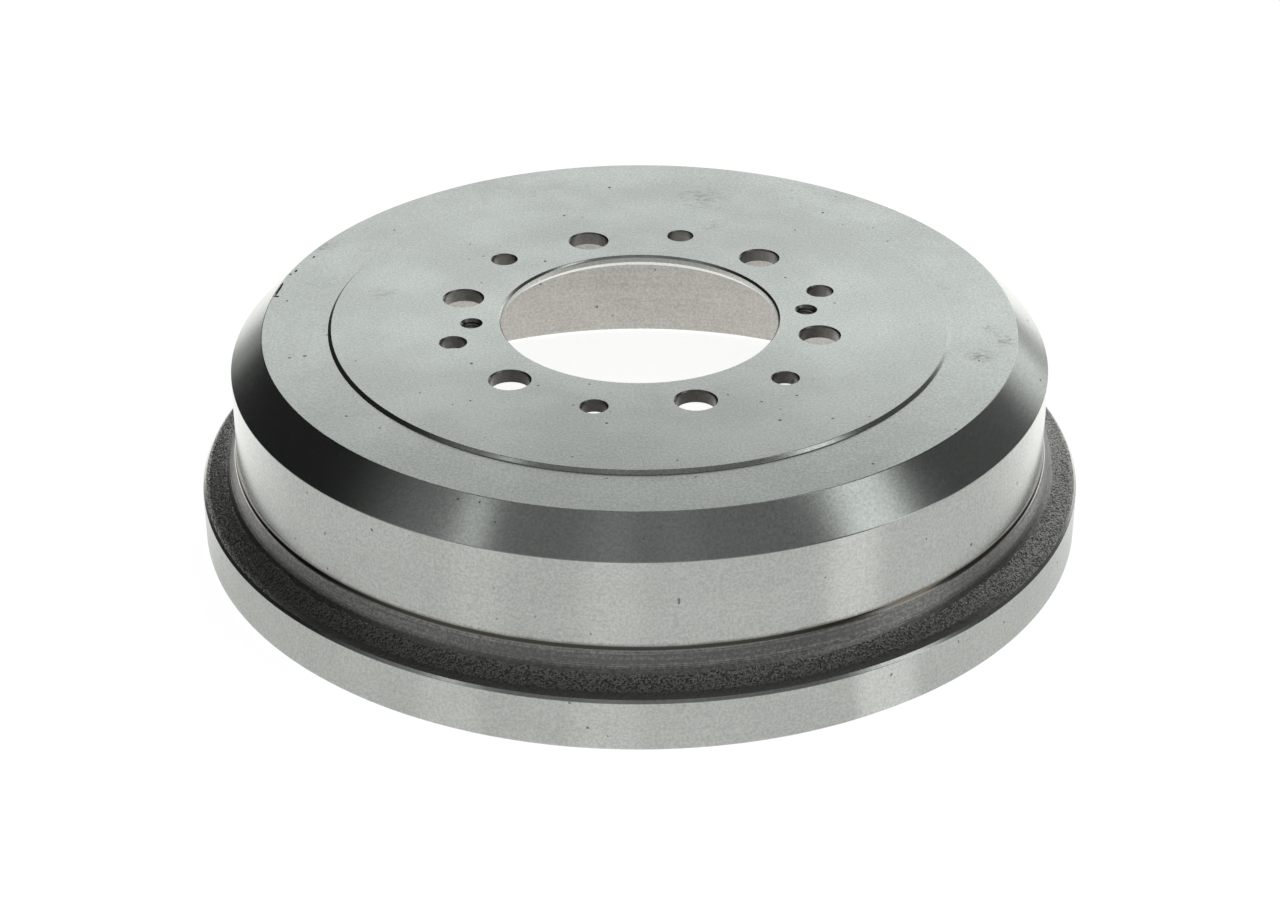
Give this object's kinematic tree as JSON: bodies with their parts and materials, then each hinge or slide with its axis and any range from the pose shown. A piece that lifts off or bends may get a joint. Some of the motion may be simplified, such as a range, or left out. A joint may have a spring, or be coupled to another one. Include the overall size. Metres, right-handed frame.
{
  "type": "brake drum",
  "caption": "Flanged drum, open below: a turned braking surface inside, a drilled mounting web with a raised wheel seat and a centre bore on top, and a stepped outer flange around the mouth.",
  "frame": {"origin": "centre of the open end's face, which the drum stands on", "axes": "+Z along the drum's axis, from the open end towards the wheel side; the jacking holes lie 5 degrees round from +X and opposite"},
  "size_m": [0.34, 0.34, 0.082],
  "materials": {
    "iron": "fine turned, rough cast on the shelf and inside the web"
  },
  "bodies": {
    "root": {"brake_drum": "iron"}
  },
  "joints": []
}
